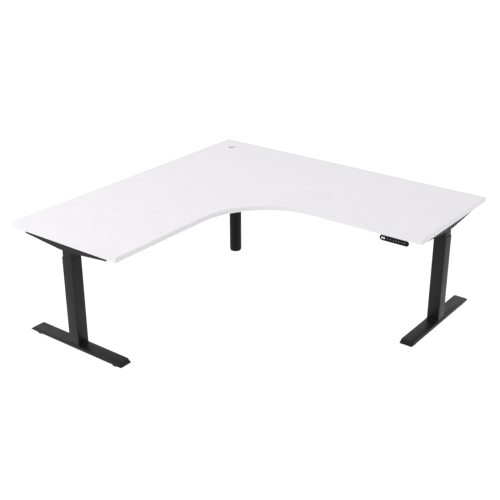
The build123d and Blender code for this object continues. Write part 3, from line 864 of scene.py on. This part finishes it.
key_finish = Finish("key_black", IOR=1.5, Specular_IOR_Level=0.15)
key_cloud = key_finish.noise(300.0, 2.0)
key_tone = spread(key_cloud, 0.0, 1.0)
key_finish.feed(Base_Color=key_finish.blend(key_tone, (0.007, 0.007, 0.008, 1), (0.011, 0.011, 0.012, 1)))
key_finish.feed(Roughness=spread(key_cloud, 0.30, 0.42))

# The key print's faint emission is a painted glow: it makes the print read brighter than the light falling on
# it would.
print_with_painted_glow = Finish("key_print", Roughness=0.5, Emission_Strength=0.06, Emission_Color=white)
print_tone = spread(print_with_painted_glow.noise(900.0, 2.0), 0.0, 1.0)
print_with_painted_glow.feed(Base_Color=print_with_painted_glow.blend(print_tone, (0.70, 0.71, 0.73, 1), (0.82, 0.83, 0.85, 1)))

lit_white = Finish("lit_figures", Roughness=0.4, Emission_Strength=1.5, Base_Color=(0.8, 0.82, 0.86, 1))
glow = spread(lit_white.noise(700.0, 2.0), 0.0, 1.0)
lit_white.feed(Emission_Color=lit_white.blend(glow, (0.86, 0.93, 1, 1), white))

window_finish = Finish("window_black", IOR=1.49)
smear = spread(window_finish.noise(120.0, 3.0), 0.0, 1.0)
window_finish.feed(Base_Color=window_finish.blend(smear, (0.020, 0.021, 0.023, 1), (0.030, 0.031, 0.034, 1)))
window_finish.feed(Roughness=smear * 0.08 + 0.08)


def facing(solid, place, front):
    """A skin drawn in (right, up, out), set at a place on a front that looks along -Y."""
    points, faces = solid
    right, up, out = np.asarray(points).T
    return np.stack([place[0] + right, front - out, place[2] + up], -1), faces


raised = 0.00012
sunk = -0.00005


def stroke(path, width, closed=False):
    """Raised line: a four-cornered bar carried along a path in the face's plane."""
    path = np.asarray(path, float)
    step = np.roll(path, -1, 0) - np.roll(path, 1, 0) if closed else np.gradient(path, axis=0)
    step /= np.linalg.norm(step, axis=1, keepdims=True)
    side = np.stack([step[:, 1], -step[:, 0]], -1) * width / 2
    low, high = np.full(len(path), sunk), np.full(len(path), raised)
    corners = [(path - side, low), (path - side, high), (path + side, high), (path + side, low)]
    return skin(np.stack([np.c_[edge, level] for edge, level in corners], 1), wrap=closed)


# Bars are lettered clockwise from the top one, a, with g across the middle.
lit_bars = {"1": "bc", "2": "abged", "3": "abgcd", "4": "fgbc", "5": "afgcd", "6": "afgecd"}


def figure(character, height):
    """Seven-bar figure: the bars that are lit, each a short stroke."""
    w, h = height * 0.27, height / 2
    ends = {"a": ((-w, h), (w, h)), "b": ((w, h), (w, 0)), "c": ((w, 0), (w, -h)), "d": ((w, -h), (-w, -h)),
            "e": ((-w, -h), (-w, 0)), "f": ((-w, 0), (-w, h)), "g": ((-w, 0), (w, 0))}
    bars = []
    for bar in lit_bars[character]:
        a, b = (np.array(end) for end in ends[bar])
        gap = (b - a) / np.linalg.norm(b - a) * height * 0.05
        bars.append(stroke([a + gap, b - gap], height * 0.17))
    return surface(*bars)


window_width, _, window_height = size_of("display_window")
window_corner = 0.002


def window_loop(grow):
    """The window's outline, grown by an offset."""
    return rounded_rectangle(window_width + 2 * grow, window_height + 2 * grow, window_corner + grow)


window_spot = middle_of("display_window")
pane_profile = eased([(-0.001, -0.002), (0, -0.002), (0, 0), (-0.001, 0)], 0.0003, closed=False, steps=2)
piece("display_pane", facing(skin(stack(window_loop, pane_profile)), window_spot, front_edge), window_finish,
      "top", ["display_window"])

figure_height = 0.0068
figure_pitch = 0.0068
digits = []
for k, character in enumerate("645"):
    points, faces = figure(character, figure_height)
    digits.append((points + [(k - 1) * figure_pitch, 0, 0], faces))
shown, shown_faces = facing(surface(*digits), window_spot, front_edge)
shown[:, 1] = np.maximum(shown[:, 1], front_edge - 0.0001)
piece("display_figures", (shown, shown_faces), lit_white, "top")

mark_height = 0.0042
mark_width = 0.0008
ring = np.linspace(0, 2 * math.pi, 32, endpoint=False)
circle = np.stack([np.cos(ring), np.sin(ring)], -1)
symbols = {
    "key_up": stroke([(-0.0021, -0.0010), (0, 0.0012), (0.0021, -0.0010)], mark_width),
    "key_down": stroke([(-0.0021, 0.0010), (0, -0.0012), (0.0021, 0.0010)], mark_width),
    "key_1": figure("1", mark_height),
    "key_2": figure("2", mark_height),
    "key_3": figure("3", mark_height),
    "key_4": figure("4", mark_height),
    "key_store": stroke(circle * 0.0017, 0.0007, closed=True),
}
dish_depth = 0.00034
for node, symbol in symbols.items():
    spot = middle_of(node)
    key_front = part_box(node)[0][1]
    radius, depth, _ = size_of(node) * (0.5, 1, 1)
    dish = [(radius, -depth), (radius, -0.0004), (radius - 0.0004, -0.0001), (radius - 0.0008, -0.0001),
            (radius * 0.6, -0.00028), (radius * 0.25, -dish_depth)]
    cap = facing(skin(turned(dish, segments=40)), spot, key_front)
    mark = facing(symbol, spot, key_front + dish_depth)
    piece(f"{node}_cap", cap, key_finish, node, [node])
    piece(f"{node}_symbol", mark, print_with_painted_glow, node)


# ---- Control box and leads -----------------------------------------------------------
# The moulded control box is screwed up between the right arm's beams.  A lead from each
# motor and one from the handset run to it, clipped under the board.
softened("control_box", 0.0008, nylon, "top", "control_case")
softened("lead_clips", 0.0004, nylon, "top", "lead_saddles")

sheath = Finish("lead_sheath", IOR=1.5)
sheath_cloud = sheath.noise(55.0, 3.0)
sheath_tone = spread(sheath_cloud, 0.0, 1.0)
sheath.feed(Base_Color=sheath.blend(sheath_tone, (0.010, 0.010, 0.010, 1), (0.020, 0.020, 0.020, 1)))
sheath.feed(Roughness=spread(sheath_cloud, 0.46, 0.58))
sheath.bump(sheath.noise(1100.0, 2.0), 0.00005)
for node in ("left_motor_lead", "corner_motor_lead", "right_motor_lead", "handset_lead"):
    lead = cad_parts[node]
    lead.data.materials.clear()
    lead.data.materials.append(sheath.material)
